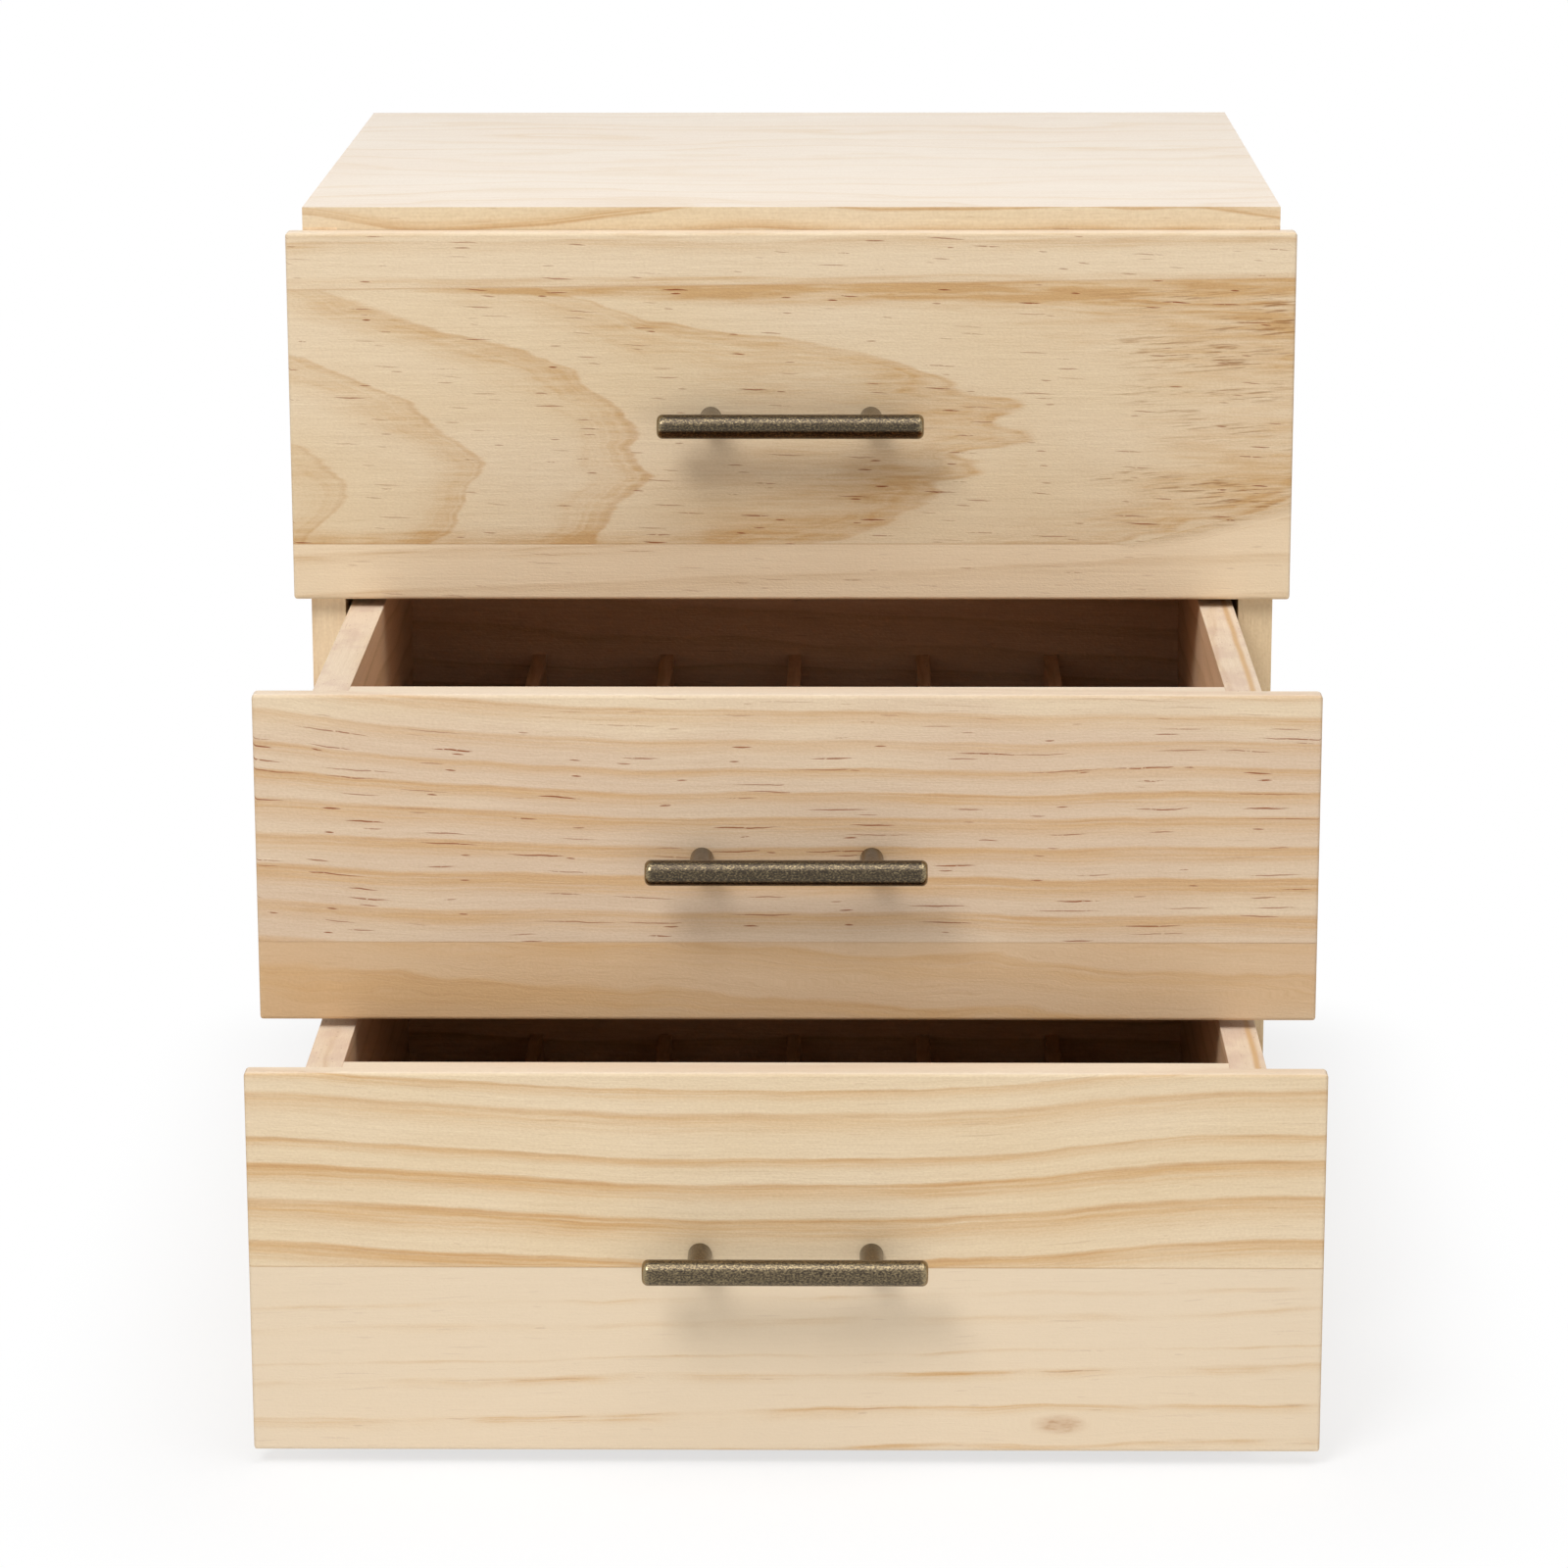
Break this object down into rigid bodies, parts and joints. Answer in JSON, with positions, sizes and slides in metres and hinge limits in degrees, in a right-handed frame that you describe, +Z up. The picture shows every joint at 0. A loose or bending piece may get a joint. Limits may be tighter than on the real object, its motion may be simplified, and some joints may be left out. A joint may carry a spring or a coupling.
{
  "type": "drawer storage box",
  "caption": "Pine storage box with wide pull-out drawers, slotted divider grids that keep small bottles upright, and antique bronze bar pulls.",
  "frame": {"origin": "centre of the carcass's footprint, on the surface that the box stands on", "axes": "+X to the right seen from the front, +Y to the back, +Z up; the drawers open along -Y"},
  "size_m": [0.351, 0.4946, 0.39],
  "materials": {
    "pine": "sealed pale pine, satin",
    "front_pine": "edge-glued pale pine with flat-sawn grain, satin",
    "plywood": "thin plywood, matt",
    "divider_wood": "thin pine slats, matt",
    "bronze": "antique bronze, brushed dark with brassy wear",
    "steel": "zinc plated"
  },
  "bodies": {
    "carcass": {"top_panel": "pine", "bottom_panel": "pine", "left_side": "pine", "right_side": "pine", "lower_shelf": "pine", "upper_shelf": "pine", "back_panel": "plywood", "back_screws": "steel"},
    "lower_drawer": {"lower_front": "front_pine", "lower_left_wall": "pine", "lower_right_wall": "pine", "lower_back_wall": "pine", "lower_floor": "plywood", "lower_pull_bar": "bronze", "lower_pull_posts": "bronze", "lower_pull_screws": "steel", "lower_long_divider_1": "divider_wood", "lower_long_divider_2": "divider_wood", "lower_long_divider_3": "divider_wood", "lower_long_divider_4": "divider_wood", "lower_long_divider_5": "divider_wood", "lower_cross_divider_1": "divider_wood", "lower_cross_divider_2": "divider_wood", "lower_cross_divider_3": "divider_wood"},
    "middle_drawer": {"middle_front": "front_pine", "middle_left_wall": "pine", "middle_right_wall": "pine", "middle_back_wall": "pine", "middle_floor": "plywood", "middle_pull_bar": "bronze", "middle_pull_posts": "bronze", "middle_pull_screws": "steel", "middle_long_divider_1": "divider_wood", "middle_long_divider_2": "divider_wood", "middle_long_divider_3": "divider_wood", "middle_long_divider_4": "divider_wood", "middle_long_divider_5": "divider_wood", "middle_cross_divider_1": "divider_wood", "middle_cross_divider_2": "divider_wood", "middle_cross_divider_3": "divider_wood"},
    "upper_drawer": {"upper_front": "front_pine", "upper_left_wall": "pine", "upper_right_wall": "pine", "upper_back_wall": "pine", "upper_floor": "plywood", "upper_pull_bar": "bronze", "upper_pull_posts": "bronze", "upper_pull_screws": "steel", "upper_long_divider_1": "divider_wood", "upper_long_divider_2": "divider_wood", "upper_long_divider_3": "divider_wood", "upper_long_divider_4": "divider_wood", "upper_long_divider_5": "divider_wood", "upper_cross_divider_1": "divider_wood", "upper_cross_divider_2": "divider_wood", "upper_cross_divider_3": "divider_wood"}
  },
  "joints": [
    {"name": "lower_slide", "type": "slide", "parent": "carcass", "child": "lower_drawer", "axis": [0, -1, 0], "range_m": [-0.186, 0.024]},
    {"name": "middle_slide", "type": "slide", "parent": "carcass", "child": "middle_drawer", "axis": [0, -1, 0], "range_m": [-0.136, 0.074]},
    {"name": "upper_slide", "type": "slide", "parent": "carcass", "child": "upper_drawer", "axis": [0, -1, 0], "range_m": [0, 0.21]}
  ]
}
